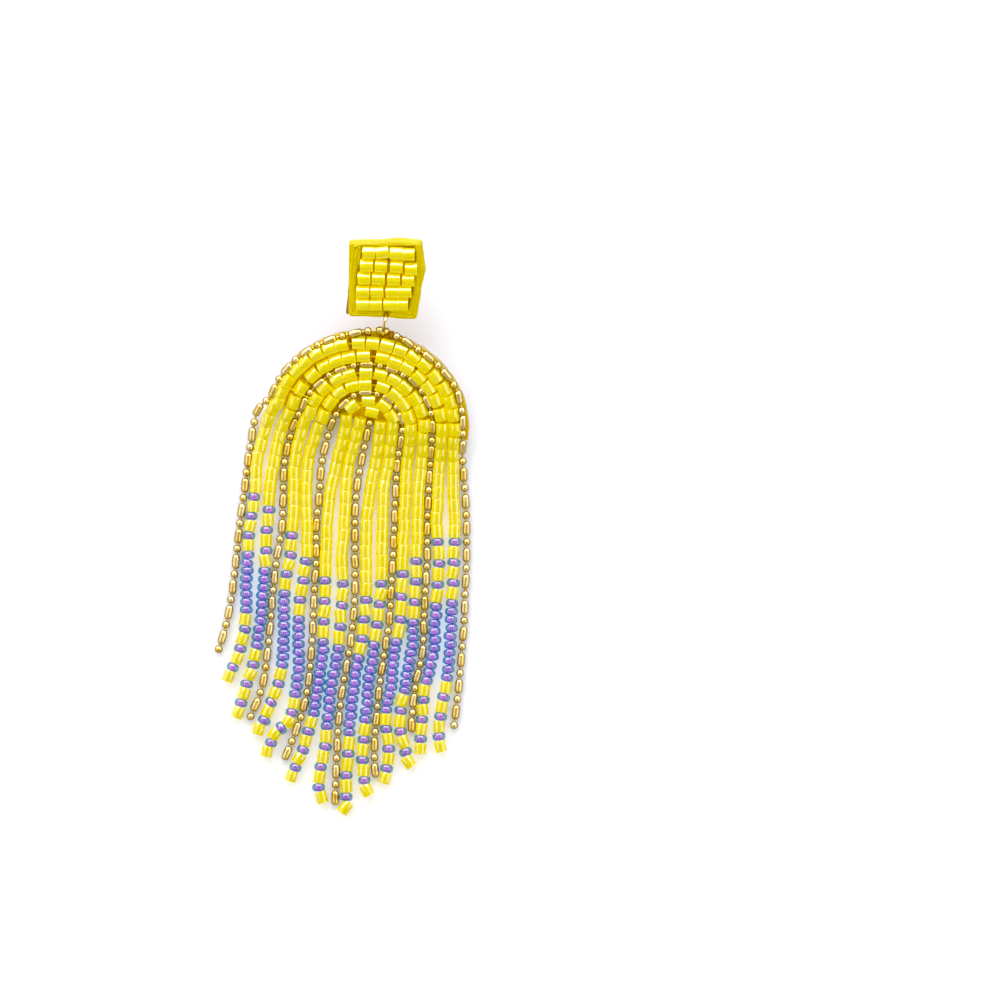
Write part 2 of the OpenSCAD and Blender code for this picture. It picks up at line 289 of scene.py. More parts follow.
# Felt bases.
# Yellow felt glued to the leather, to which every bead is sewn. It shows as a thin edge round the arch
# and in the gaps between the rows, where the light is warm from the beads on both sides.
felt = Finish("yellow_felt", Roughness=0.95, Sheen_Weight=0.3, Sheen_Roughness=0.5)
place = felt.node("ShaderNodeTexCoord", output="Object")
tufts = felt.noise(place, 2400, 5, 0.65)
cloud = felt.noise(place, 420, 2)
dyed = felt.ramp(tufts, [(0.32, (0.66, 0.43, 0.012)), (0.68, (0.9, 0.66, 0.03))])
# Painted shade: where the felt stands upright at its edge it is painted olive grey.
painted_edge_shade = felt.falling(felt.facing_up(), 0.35, 0.75)
soft_yellow = felt.blend(cloud * 0.4, dyed, (0.95, 0.64, 0.04, 1))
felt.set(Base_Color=felt.blend(painted_edge_shade * 0.85, soft_yellow, (0.34, 0.3, 0.12, 1)))
felt.bump(tufts, 0.12 * MM)
square_lumps, arch_lumps = 0.04, 0.05
square_cut = sheet(square_point, felt_outline, backing_t, face_w, square_lumps)
square_felt = joined("square_felt", [(square_cut, as_made, 0)], [felt])
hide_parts("square_base")
arch_cut = sheet(arch_point, arch_outline, backing_t, face_w, arch_lumps)
arch_felt = joined("arch_felt", [(arch_cut, as_made, 0)], [felt])
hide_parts("arch_base")

# Ear post and jump ring.
# The post with its flat pad is glued to the back of the square. The ring is a round wire, bent shut,
# that goes through the square's lower edge and the arch's upper edge. Both are plated a pale gold.
gold = Finish("pale_gold_plate", Metallic=1.0, Roughness=0.16)
place = gold.node("ShaderNodeTexCoord", output="Object")
wear = gold.noise(place, 900, 3)
gold.set(Base_Color=gold.ramp(wear, [(0.3, (0.78, 0.58, 0.27)), (0.7, (0.9, 0.72, 0.4))]),
         Roughness=0.1 + 0.14 * wear)
gold.bump(gold.noise(place, 3800, 2), 0.01 * MM, 0.5)


def dress(finish, *nodes):
    """Gives a finish to parts that keep their own shape."""
    for name in nodes:
        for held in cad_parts[name].material_slots:
            held.material = finish.material


dress(gold, "ear_post", "jump_ring")

# Square border.
# A frame of yellow silk thread round the square's beads: strands laid side by side over a padded ridge,
# held by short stitches across it. It is parted where the jump ring comes out of the felt.
ring_u, ring_half_gap = 0.1, 0.55


def unit(vector):
    return vector / np.linalg.norm(vector)


def tube(points, radius, sides=6, loop=False):
    """A round strand through points in millimetres. Its third grain value runs along it."""
    points = np.array(points)
    last = len(points) - 1
    step = [points[(i + 1) % len(points)] - points[i - 1] if loop else
            points[min(i + 1, last)] - points[max(i - 1, 0)] for i in range(len(points))]
    run = np.concatenate([[0], np.cumsum(np.linalg.norm(np.diff(points, axis=0), axis=1))])
    turn = [(k + 0.5) * 2 * math.pi / sides for k in range(sides)]
    verts, grain, faces = [], [], []
    for i, point in enumerate(points):
        along = unit(step[i])
        side = unit(np.cross(along, panel_out))
        top = np.cross(side, along)
        for a in turn:
            verts.append(point + radius * (math.cos(a) * side + math.sin(a) * top))
            grain.append((math.cos(a), math.sin(a), run[i]))
    for i in range(len(points) if loop else last):
        for k in range(sides):
            a, b = i * sides + k, i * sides + (k + 1) % sides
            c, d = (i + 1) % len(points) * sides + (k + 1) % sides, (i + 1) % len(points) * sides + k
            faces.append((a, b, c, d))
    if not loop:
        faces.append(tuple(range(sides))[::-1])
        faces.append(tuple(last * sides + k for k in range(sides)))
    return np.array(verts), faces, np.array(grain)


square_outline = [(-5.85, 5.6), (-2, 5.75), (1.7, 6.1), (5.5, 5.75), (5.75, 3.4), (6.02, 1.15),
                  (5.4, -1.6), (4.9, -4.4), (4.5, -6.84), (-0.5, -6.68), (-5.92, -6.42), (-5.95, -1.6)]
field_outline = [(-3.75, 5.12), (4.3, 5.12), (4.6, 3), (4.45, 1), (4.15, -1), (3.8, -3.4), (3.3, -5.35),
                 (-4.7, -5.35), (-4.75, -1.6), (-4.6, 0.9), (-4.1, 2.9)]
border_h, border_steps = 1.08, 200
strand_r, strand_rows, strand_stagger = 0.2, 9, 0.09
# The strands below the ridge: how far in and how high the first one is, and how far down the next ones are
hem_inset, hem_top, hem_pitch, hem_rows = 0.18, 0.1, 0.28, 4
# Where the border is parted for the jump ring: below this height of the square, and how deep
parting_b, parting_depth = -4.9, 1.1
stitches_across, stitch_steps, stitch_r, stitch_lift = 34, 8, 0.09, 0.1
ring_angle, ring_room = math.radians(268), 0.22


def border_point(angle, across, wander=0.0):
    """A point on the ridge: across is 0 at the foot of its inner side and 1 at the foot of its outer side."""
    inner, outer = reach(field_outline, angle), reach(square_outline, angle)
    lean = max(0, math.sin(math.pi * across)) ** 0.45
    width = outer - inner - 2 * strand_r
    out = inner + strand_r + width * (0.5 - 0.5 * math.cos(math.pi * across)) + wander
    a, b = out * math.cos(angle), out * math.sin(angle)
    beside = (a * up_y - b * up_x) + square_u - ring_u
    parted = math.exp(-(beside / ring_half_gap) ** 4) if b < parting_b else 0.0
    height = strand_r + (border_h - 2 * strand_r) * lean - parting_depth * parted
    return square_point(a, b, face_w + height)


def hem_point(angle, row, wander=0.0):
    """A point on the strands that are wound over the felt's cut edge, below the ridge."""
    out = reach(square_outline, angle) + wander - hem_inset
    return square_point(out * math.cos(angle), out * math.sin(angle), face_w + hem_top - hem_pitch * row)


thread = Finish("yellow_silk_thread", Specular_IOR_Level=0.3, Coat_Weight=0.1, Coat_Roughness=0.3)
strand = thread.stored("grain", "Vector")
tint = thread.stored("tone", "Fac")
fuzz = thread.noise(strand, 2.2, 3)
silk = thread.ramp(fuzz, [(0.36, (0.45, 0.32, 0.008)), (0.64, (0.73, 0.57, 0.012))])
thread.set(Base_Color=thread.blend(tint, silk, (0.77, 0.64, 0.012, 1)), Roughness=0.35 + 0.25 * fuzz)
thread.bump(fuzz, 0.04 * MM)

parts = []
for row in range(strand_rows):
    across = row / (strand_rows - 1)
    drift = chance.uniform(0, 6.28)
    path = []
    for i in range(border_steps):
        angle = 2 * math.pi * i / border_steps
        wander = 0.05 * math.sin(5 * angle + drift) + 0.03 * math.sin(11 * angle + 2 * drift)
        path.append(border_point(angle, across, wander))
    parts.append((tube(path + strand_stagger * (row % 2) * panel_out, strand_r, loop=True), as_made, 0))
for row in range(hem_rows):
    path = []
    for i in range(border_steps):
        angle = 2 * math.pi * i / border_steps
        path.append(hem_point(angle, row, 0.04 * math.sin(7 * angle + 2 * row) - 0.05 * row))
    parts.append((tube(path, strand_r, loop=True), as_made, 0))
for i in range(stitches_across):
    middle = 2 * math.pi * (i + chance.uniform(0.1, 0.9)) / stitches_across
    lean = chance.uniform(-0.05, 0.05)
    across = [k / stitch_steps for k in range(stitch_steps + 1)]
    path = [border_point(middle + lean * (share - 0.5), share) + stitch_lift * panel_out for share in across]
    if abs(middle - ring_angle) > ring_room:
        parts.append((tube(path, stitch_r), as_made, 0))
border = joined("silk_border", parts, [thread])
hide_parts("square_border")
dress(thread, "square_thread")

# Yellow cylinder beads of the square.
# Five rows of four satin glass beads, cut straight and drilled, sewn down in threads that run across.
# One bead in the first row sits high and askew, one in the second has slipped down.
def satin_glass(name, deep, bright, pale, painted_glow, clear):
    """Drawn satin glass: streaks run along each bead, and its flanks glow with painted light."""
    made = Finish(name, Specular_IOR_Level=0.15, Coat_Roughness=0.05, Coat_IOR=2.5, Emission_Strength=1.0,
                  Subsurface_Weight=0.7, Subsurface_Scale=0.8 * MM, Subsurface_Radius=(1, 0.85, 0.02))
    bead_tone = made.stored("tone", "Fac")
    drawn = made.node("ShaderNodeVectorMath", {"operation": "MULTIPLY"},
                      {0: made.stored("grain", "Vector"), 1: (2.6, 2.6, 0.12)})
    streaks = made.noise(drawn, 1.6, 3, 0.55)
    glass = made.ramp(streaks, [(0.3, deep), (0.7, bright)])
    # Painted light: the steep flanks of each bead glow, which lightens the shade between beads.
    flank_glow_share = made.falling(made.facing_up(), 0.0, 0.62)
    made.set(Base_Color=made.blend(bead_tone * 0.4, glass, (*pale, 1)), Roughness=0.24 + 0.16 * streaks,
             Emission_Color=made.blend(flank_glow_share, (0, 0, 0, 1), (*painted_glow, 1)), Coat_Weight=0.7 + 0.3 * bead_tone)
    made.let_light_through(clear, (1, 0.9, 0.66))
    return made


# The fifth colour is the painted glow of the beads' flanks.
satin = satin_glass("yellow_satin_glass", (0.73, 0.605, 0.001), (0.84, 0.725, 0.002), (0.82, 0.725, 0.002),
                    (0.22, 0.18, 0.001), 0.6)


def turned(profile, sides, hollow=True):
    """A shape turned round X from (place along X, radius) points, drilled if hollow, else closed."""
    rows = profile if hollow else profile[1:-1]
    turn = [k * 2 * math.pi / sides for k in range(sides)]
    verts = [(x, r * math.cos(a), r * math.sin(a)) for x, r in rows for a in turn]
    faces = []
    for i in range(len(rows) if hollow else len(rows) - 1):
        for k in range(sides):
            a, b = i * sides + k, i * sides + (k + 1) % sides
            c, d = (i + 1) % len(rows) * sides + (k + 1) % sides, (i + 1) % len(rows) * sides + k
            faces.append((a, b, c, d))
    if not hollow:
        first, last = len(verts), len(verts) + 1
        verts += [(profile[0][0], 0, 0), (profile[-1][0], 0, 0)]
        top = (len(rows) - 1) * sides
        faces += [(first, (k + 1) % sides, k) for k in range(sides)]
        faces += [(last, top + k, top + (k + 1) % sides) for k in range(sides)]
    verts = np.array(verts, float)
    return verts, faces, verts[:, [1, 2, 0]]


bead_bore_r, bead_cut, bead_sides = 0.35, 0.045, 26
sewn_bead_r = 1.02
sewn_w = bead_w + 0.08
square_bead_l, touching_gap = 1.9, 0.19


def cylinder_bead(length, radius):
    half, cut, hole = length / 2, bead_cut, bead_bore_r
    return turned([(-half, hole + cut), (-half, radius - cut), (-half + 0.3 * cut, radius - 0.3 * cut),
                   (-half + cut, radius), (half - cut, radius), (half - 0.3 * cut, radius - 0.3 * cut),
                   (half, radius - cut), (half, hole + cut), (half - cut, hole), (-half + cut, hole)],
                  bead_sides)


def lay(point, along, yaw, up=panel_out):
    """Where a turned piece goes: its X along a direction, swung by yaw degrees about the way up."""
    x = unit(np.array(along, float))
    y = unit(np.cross(up, x))
    z = np.cross(x, y)
    swing = math.radians(yaw)
    ahead, beside = math.cos(swing) * x + math.sin(swing) * y, math.cos(swing) * y - math.sin(swing) * x
    return np.column_stack([ahead, beside, z]), np.array(point)


# Each row of the square: how far up, middle across, spacing of its four beads, slope in degrees
square_rows = [(4.0, 0.4, 2.07, -1), (1.88, 0.28, 2.24, -2), (-0.2, -0.13, 2.24, -1.5),
               (-2.3, -0.4, 2.19, 0.5), (-4.38, -0.7, 2.04, 0.5)]
# Beads that lie unevenly, by row and bead: shift across, shift up, turn in degrees
askew = {(0, 1): (0.05, 0.12, 7), (0, 2): (0.1, 0.02, -1), (0, 3): (-0.07, -0.08, 0), (1, 2): (0.16, 0, 0),
         (1, 3): (0.2, -0.26, 2), (2, 2): (0.12, 0, 0), (2, 3): (0.14, -0.08, 0), (3, 2): (0.16, 0, 0),
         (3, 3): (-0.05, 0, 0), (4, 2): (0.1, 0, 0), (4, 3): (-0.02, 0, 0)}
# Pairs that touch end to end, by the first one's row and number
touching = [(3, 2), (4, 2)]
parts = []
across_square = square_point(1, 0, 0) - square_point(0, 0, 0)
for r, (up, middle, spacing, slope) in enumerate(square_rows):
    for i in range(4):
        aside, higher, swing = askew.get((r, i), (0, 0, 0))
        along = (i - 1.5) * spacing + aside
        lean = math.radians(slope)
        a = middle + along * math.cos(lean)
        b = up + along * math.sin(lean) + higher
        close = (r, i) in touching or (r, i - 1) in touching
        length = spacing - touching_gap if close else square_bead_l + chance.uniform(-0.06, 0.1)
        where = lay(square_point(a, b, sewn_w), across_square, slope + swing + chance.uniform(-1, 1))
        parts.append((cylinder_bead(length, sewn_bead_r), where, 0))
square = joined("square_cylinder_beads", parts, [satin])
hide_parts("square_beads")

# Yellow cylinder beads of the arch.
# Six arcs of the same beads, each sewn on its own thread from the left to the right lower edge. A few of
# the arcs open up near the crown, where the felt and the thread show between two beads.

# Each arc: radius, extra radius at the crown, shift of the middle to the right, then where each bead sits,
# in degrees from the right lower edge
arch_arcs = [
    (14, 0, 0.1, (174, 166.5, 158, 149, 141, 132, 123, 115, 104, 95, 86, 77, 68, 59, 49, 39, 30, 21, 11)),
    (11.87, 0, 0.34, (170, 158, 144, 133, 123, 113, 102, 88, 78, 68, 57, 46, 35, 23, 11)),
    (9.1, 0.05, 0.32, (174, 160, 145, 129, 116, 100, 86, 72, 59, 44, 31, 15)),
    (6.85, 0.45, 0.34, (174, 153, 135, 117, 101, 80, 62, 46, 28, 10)),
    (4.05, 0.55, 0.65, (134, 99, 68, 40)),
    (2.95, 0, 0.75, (90,)),
]
arch_bead_l, bead_gap = 2.03, 0.03
sewing_thread_r, thread_end = 0.15, 0.4
sewn = []
for number, (radius, crown, shift, angles) in enumerate(arch_arcs, 1):
    parts, line = [], []
    for i, angle in enumerate(angles):
        a = math.radians(angle)
        far = radius + crown * math.sin(a) ** 2 + chance.uniform(-0.06, 0.06)
        room = [math.radians(abs(angle - angles[k])) * far for k in (i - 1, i + 1) if 0 <= k < len(angles)]
        length = min(room + [arch_bead_l * chance.uniform(0.97, 1.02)]) - bead_gap
        u, v = shift + far * math.cos(a), far * math.sin(a)
        ahead = panel_point(u + math.sin(a), v - math.cos(a), 0) - panel_point(u, v, 0)
        line.append(panel_point(u, v, sewn_w + chance.uniform(-0.02, 0.03)))
        parts.append((cylinder_bead(length, sewn_bead_r), lay(line[-1], ahead, chance.uniform(-3, 3)), 0))
        if i == 0:
            line.insert(0, line[0] - thread_end * unit(ahead))
        if i == len(angles) - 1:
            line.append(line[-1] + thread_end * unit(ahead))
    arc = joined(f"arch_arc_{number}", parts, [satin])
    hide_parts(f"arch_row_{number}")
    sewn.append((tube(line, sewing_thread_r), as_made, 0))
arch_sewing = joined("arch_sewing_threads", sewn, [thread])
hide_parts("arch_thread")

# Stitches.
# Short ends of waxed brown and orange thread that show where the beads leave a gap: at the arch's crown,
# in its open arcs and between the square's rows. One loose yellow end lies over the arch's left side.
def on_panel(x, y, w):
    """The point of the panels' slope at a place seen from above, at a height over their backs."""
    rise = (x - origin_x) * up_x + (y - origin_y) * up_y
    return np.array([x, y, panel_lift + rise * math.tan(panel_tilt) + w / math.cos(panel_tilt)])


waxed = Finish("waxed_brown_thread", Roughness=0.5, Specular_IOR_Level=0.3)
stitch_tone = waxed.stored("tone", "Fac")
twist = waxed.noise(waxed.stored("grain", "Vector"), 3, 2)
brown = waxed.ramp(twist, [(0.3, (0.14, 0.06, 0.01)), (0.7, (0.3, 0.15, 0.03))])
waxed.set(Base_Color=waxed.blend(stitch_tone * 0.8, brown, (0.75, 0.32, 0.04, 1)))
waxed.bump(twist, 0.04 * MM)
waxed_r, crossing_r, loose_r = 0.15, 0.12, 0.09
stitch_foot = face_w + 0.2
# Each stitch: where it starts and ends, seen from above, and how high its middle stands over the felt
stitches = [(6.9, 30.1, 7.7, 30, 1), (7.1, 29.8, 7.7, 29, 1.1), (7.4, 30, 8.4, 29.2, 1.2),
            (7.9, 29.8, 8.9, 29.3, 1), (6.7, 29.8, 7.2, 28.8, 0.8), (5.6, 29.3, 5.8, 28.4, 1.4),
            (6.05, 29.1, 6.1, 28.3, 1.2), (2.9, 29.7, 3.4, 29.6, 0.9), (3.5, 29.6, 4.1, 29.5, 0.9),
            (8.8, 29.4, 9.8, 28.6, 0.8), (11.9, 26.7, 12.5, 26.3, 1), (14, 25, 14.5, 24.4, 1),
            (16.5, 22.2, 17, 21.5, 1), (11.1, 24.6, 11.5, 24, 1), (6.9, 23.9, 7.3, 23.4, 1),
            (6.7, 41.7, 7.2, 41.1, 1.7), (6.3, 38.9, 6.5, 38.3, 1.6), (3.85, 35.7, 4.05, 35.1, 1.6),
            (9.6, 41.6, 10, 41, 1.6)]
parts = []
for ax, ay, bx, by, high in stitches:
    top = on_panel((ax + bx) / 2, (ay + by) / 2, face_w + high)
    path = [on_panel(ax, ay, stitch_foot), top, on_panel(bx, by, stitch_foot)]
    parts.append((tube(path, waxed_r), as_made, 0))
# The open gaps of the arcs, as an angle and a distance from the arch's middle, have strands across them
half_crossing, first_strand, next_strand = 0.85, 0.75, 0.1
for angle, far in ((109.5, 14), (95, 11.9), (138, 12), (108, 9.2), (93, 9.2), (90.5, 7.3), (56, 9)):
    for k in range(3):
        a = math.radians(angle) + (chance.uniform(-0.1, 0.1) + 0.22 * (k - 1)) / far
        b = a + chance.uniform(-0.25, 0.25) / far
        w = face_w + first_strand + next_strand * k
        path = [panel_point(0.25 + (far + d) * math.cos(t), (far + d) * math.sin(t), w)
                for t, d in ((a, -half_crossing), (b, half_crossing))]
        parts.append((tube(path, crossing_r), as_made, 0))
joined("waxed_stitches", parts, [waxed])
loose_end = [(-10, 21.8, 0.95), (-8.2, 21.2, 1.12), (-6.6, 20.4, 1.12), (-5.2, 19.7, 1.12), (-3.8, 19.1, 0.9)]
path = [on_panel(x, y, sewn_w + w) for x, y, w in loose_end]
joined("loose_thread_end", [(tube(path, loose_r), as_made, 0)], [thread])

# Ball-and-bar chain.
# Fine brass chain of hollow balls and round-ended bars by turns on short wire links. It is sewn down
# between the arcs and hangs free below them: once round the rim, twice inside, and once in the middle.
chain_brass = Finish("chain_gold", Metallic=0.75, Specular_Tint=(0.16, 0.11, 0.02, 1))
chain_tone = chain_brass.stored("tone", "Fac")
tarnish = chain_brass.noise(chain_brass.stored("grain", "Vector"), 1.3, 3)
plate = chain_brass.ramp(tarnish, [(0.25, (0.64, 0.37, 0.05)), (0.55, (0.98, 0.68, 0.22))])
worn = chain_brass.blend(chain_tone * 0.7, plate, (1, 0.8, 0.42, 1))
# Painted shade: the steep flanks of the balls and bars are painted dark brown, for their dark outlines.
painted_flank_shade = chain_brass.falling(chain_brass.facing_up(), 0.35, 0.8)
chain_brass.set(Base_Color=chain_brass.blend(painted_flank_shade, worn, (0.22, 0.13, 0.008, 1)),
                Roughness=0.16 + 0.16 * tarnish)
bar_l, bar_r, ball_r, link_r = 2.3, 0.58, 0.6, 0.19
bar_end, half_link, chain_sides, link_sides = 0.55, 0.35, 20, 10
# How high the chain is sewn over its place in the CAD, its room over the surface, and how softly it settles
sewn_rise, chain_room, settle_length = 0.5, 0.04, 0.6


def laid(x, y, w, r):
    """A strand keeps the panel's slope until the surface stops it, and then lies there."""
    over = on_panel(x, y, w)[2] - r
    return np.array([x, y, r + (over + math.sqrt(over * over + settle_length * settle_length)) / 2])


class Route:
    """A smooth line through points in millimetres, measured along its length."""

    def __init__(self, points, steps=10):
        points = [points[0]] + list(points) + [points[-1]]
        line = []
        for a, b, c, d in zip(points, points[1:], points[2:], points[3:]):
            for k in range(steps):
                t = k / steps
                line.append(0.5 * (2 * b + (c - a) * t + (2 * a - 5 * b + 4 * c - d) * t * t
                                   + (3 * b - a - 3 * c + d) * t ** 3))
        self.line = np.array(line + [points[-1]])
        self.run = np.concatenate([[0], np.cumsum(np.linalg.norm(np.diff(self.line, axis=0), axis=1))])
        self.length = self.run[-1]

    def at(self, s):
        return np.array([np.interp(s, self.run, self.line[:, k]) for k in range(3)])

    def along(self, s, span=0.5):
        return self.at(min(s + span, self.length)) - self.at(max(s - span, 0))

    def where_y(self, y):
        """How far along it first comes down to y."""
        return self.run[np.argmax(self.line[:, 1] <= y)]

    def nearest(self, x, y):
        """How far along it is nearest to a place seen from above."""
        return self.run[np.argmin(np.hypot(self.line[:, 0] - x, self.line[:, 1] - y))]


def hung(points, w, r):
    """A strand's free length, from its route seen from above."""
    return [laid(x, y, w, r) for x, y in points]


def hanging(points):
    """The free length of a chain."""
    return hung(points, chain_w, ball_r + chain_room)


def arc_points(shift, places):
    """The length of a chain that is sewn to the arch."""
    turns = [(math.radians(angle), far) for angle, far in places]
    return [panel_point(shift + far * math.cos(a), far * math.sin(a), chain_w + sewn_rise)
            for a, far in turns]


# Arcs of the chain on the arch: how far their middle is to the right, then angle and distance from it
rim_left_arc = (0, [(172, 15.3), (160, 15.2), (145, 15.2), (130, 15.15), (118, 15.25), (108, 15.45),
                    (100, 15.8), (94, 16.1)])
# Its last bar lies deeper, under the jump ring
rim_left_stop = [panel_point(-0.1, 16.05, chain_w), panel_point(1.1, 16.05, chain_w - 0.4)]
rim_right_arc = (0, [(83.8, 16.1), (74, 15.65), (60, 15.5), (50, 15.6), (37, 15.8), (28, 15.65), (18, 15.45),
                     (8, 15.4)])
middle_arc = (0.25, [(174, 10.35), (157, 10.28), (134, 10.25), (122, 10.3), (110, 10.45), (99, 10.5),
                     (88, 10.55), (67, 10.66), (56, 10.8), (44, 10.75), (30, 10.55), (18, 10.45), (7, 10.4)])
inner_arc = (0.58, [(176, 5.42), (160, 5.3), (145, 5.4), (124, 5.75), (102, 5.95), (85, 5.9), (66, 5.8),
                    (49, 5.8), (27, 5.5), (4, 5.42)])
rim_left_end = [(-13.3, 18), (-14.1, 15), (-14.9, 10), (-15.5, 5), (-16.2, 0), (-16.7, -5), (-17.3, -10),
                (-18.2, -15), (-19.6, -19.7)]
rim_right_end = [(18.4, 10), (18.8, 5), (19, 0), (19, -5), (18.8, -10), (18.6, -15), (18.2, -20), (17.8, -25),
                 (17, -31.5)]
middle_left_end = [(-7.3, 16.8), (-8, 15), (-9.2, 10), (-9.4, 5), (-9.6, 0), (-10.4, -5), (-11, -10),
                   (-11.4, -15), (-11.9, -20), (-12.7, -25), (-14.7, -30.1)]
middle_right_end = [(13.4, 10), (13.1, 5), (12.9, 0), (12.9, -5), (12.6, -10), (12.4, -15), (12.1, -20),
                    (11, -25), (10.4, -32)]
inner_left_end = [(-2.2, 15), (-3.4, 10), (-3.8, 5), (-4.3, 0), (-4.3, -5), (-4.6, -10), (-4.8, -15),
                  (-5.1, -20), (-5.6, -25), (-6.8, -30), (-9.3, -36.3)]
inner_right_end = [(8.3, 10), (8, 5), (7.8, 0), (7.6, -5), (7.3, -10), (7, -15), (6.2, -20), (5.5, -25),
                   (5, -30), (4.7, -35), (4.9, -39)]
center_end = [(4.1, 16.5), (2.7, 10), (1.9, 5), (1.7, 0), (1.7, -5), (1.7, -10), (1.4, -15), (0.7, -20),
              (-0.2, -25), (-0.8, -30), (-1.1, -35), (-1.3, -40), (-1.4, -43.3)]
rim_left_route = hanging(rim_left_end)[::-1] + arc_points(*rim_left_arc) + rim_left_stop
rim_right_route = arc_points(*rim_right_arc) + hanging(rim_right_end)
middle_route = hanging(middle_left_end)[::-1] + arc_points(*middle_arc) + hanging(middle_right_end)
inner_route = hanging(inner_left_end)[::-1] + arc_points(*inner_arc) + hanging(inner_right_end)
# The chains, from left to right: route, first bead, number of the last one, and where some beads between
# them are held, as the links are tighter in some places than in others
chains = {
    "chain_rim_left": (rim_left_route, "ball", 31, {18: (-13.8, 16), 28: (-0.3, 29.5), 30: (3.8, 30.2)}),
    "chain_rim_right": (rim_right_route, "ball", 32, {6: (17.1, 22), 8: (18.2, 17.7), 10: (18.4, 14.4),
                                                      12: (18.4, 9.8), 18: (19, -2.4)}),
    "chain_middle": (middle_route, "ball", 63, {24: (-7.1, 17.3), 32: (5.5, 25), 38: (13.3, 17.5),
                                                40: (13.6, 13.1), 48: (13.1, -2.3)}),
    "chain_inner": (inner_route, "bar", 62, {27: (-1, 17.2), 29: (1.7, 20), 33: (8.2, 18.5)}),
    "chain_center": (hanging(center_end), "ball", 29, {10: (1.6, -3.5)}),
}
dome = [(-1, 0.0), (-0.96, 0.28), (-0.84, 0.54), (-0.66, 0.75), (-0.42, 0.91), (-0.15, 0.99)]
start = [(ball_r * x, ball_r * r) for x, r in dome]
ball = turned(start + [(-x, r) for x, r in start[::-1]], chain_sides, hollow=False)
start = [(-bar_l / 2 + bar_end * (1 + x), bar_r * r) for x, r in dome] + [(-bar_l / 2 + bar_end, bar_r)]
bar = turned(start + [(-x, r) for x, r in start[::-1]], chain_sides, hollow=False)
start = [(-half_link, 0), (-half_link, link_r)]
link = turned(start + [(-x, r) for x, r in start[::-1]], link_sides, hollow=False)
half_length = {"ball": ball_r, "bar": bar_l / 2}
other = {"ball": "bar", "bar": "ball"}
for name, (points, first, last, held) in chains.items():
    route = Route(points)
    kinds = [first if i % 2 == 0 else other[first] for i in range(last + 1)]
    known = {0: half_length[first], last: route.length - half_length[kinds[-1]]}
    known.update({i: route.nearest(x, y) for i, (x, y) in held.items()})
    places = np.interp(range(last + 1), sorted(known), [known[i] for i in sorted(known)])
    parts = []
    for i, (s, kind) in enumerate(zip(places, kinds)):
        here = lay(route.at(s) + [0, 0, chance.uniform(0, 0.03)], route.along(s), chance.uniform(-5, 5))
        parts.append((bar if kind == "bar" else ball, here, 0))
        if i < last:
            slack = places[i + 1] - s - half_length["bar"] - half_length["ball"]
            between = s + half_length[kind] + slack / 2
            parts.append((link, lay(route.at(between), route.along(between), 0), 0))
    piece = joined(name + "_beads", parts, [chain_brass])
    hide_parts(name)

# Bead strings of the fringe.
# Twelve strings of loose beads on strong thread. Each has plain yellow cylinder beads, then three pairs
# of a seed bead and a yellow one, a run of seed beads, and a tail where yellow and seed beads alternate.
lined = Finish("aqua_seed_glass", Roughness=0.04, IOR=1.5, Transmission_Weight=1.0, Coat_Weight=1.0,
               Coat_Roughness=0.05, Coat_IOR=1.8)
edge = lined.node("ShaderNodeLayerWeight", None, {"Blend": 0.5}, output="Facing")
lined.set(Base_Color=lined.ramp(edge, [(0.05, (0.82, 0.8, 1)), (0.28, (0.008, 0.3, 0.6))]))
lined.let_light_through(0.8, (0.97, 0.98, 0.99), 0.7)
lining = Finish("purple_lining", Roughness=0.35)
lining_tone = lining.stored("tone", "Fac")
lining.set(Base_Color=lining.blend(lining_tone, (0.26, 0.105, 0.53, 1), (0.45, 0.14, 0.59, 1)))
seed_l, seed_r, seed_bore_r, seed_sides = 1.27, 1.0, 0.3, 22
lining_share, lining_r, lining_bore_r, lining_sides = 0.95, 0.38, seed_bore_r - 0.1, 16
# The fifth colour is the painted glow of the beads' flanks.
loose_satin = satin_glass("yellow_loose_glass", (0.66, 0.54, 0.001), (0.83, 0.71, 0.002), (0.8, 0.7, 0.002),
                          (0.12, 0.1, 0.001), 0.78)


def seed_bead(length, outer, hole, sides):
    """A rounded bead: its outside is an oval, drilled along its length."""
    start = math.asin((hole / outer) ** 1.8) + 0.08
    section = []
    for k in range(13):
        a = math.pi - start - (math.pi - 2 * start) * k / 12
        section.append((length / 2 * math.cos(a) / math.cos(start), outer * math.sin(a) ** 0.36))
    return turned(section + [(0.44 * length, hole), (-0.44 * length, hole)], sides)


seed_glass = seed_bead(seed_l, seed_r, seed_bore_r, seed_sides)
seed_lining = seed_bead(seed_l * lining_share, lining_r, lining_bore_r, lining_sides)
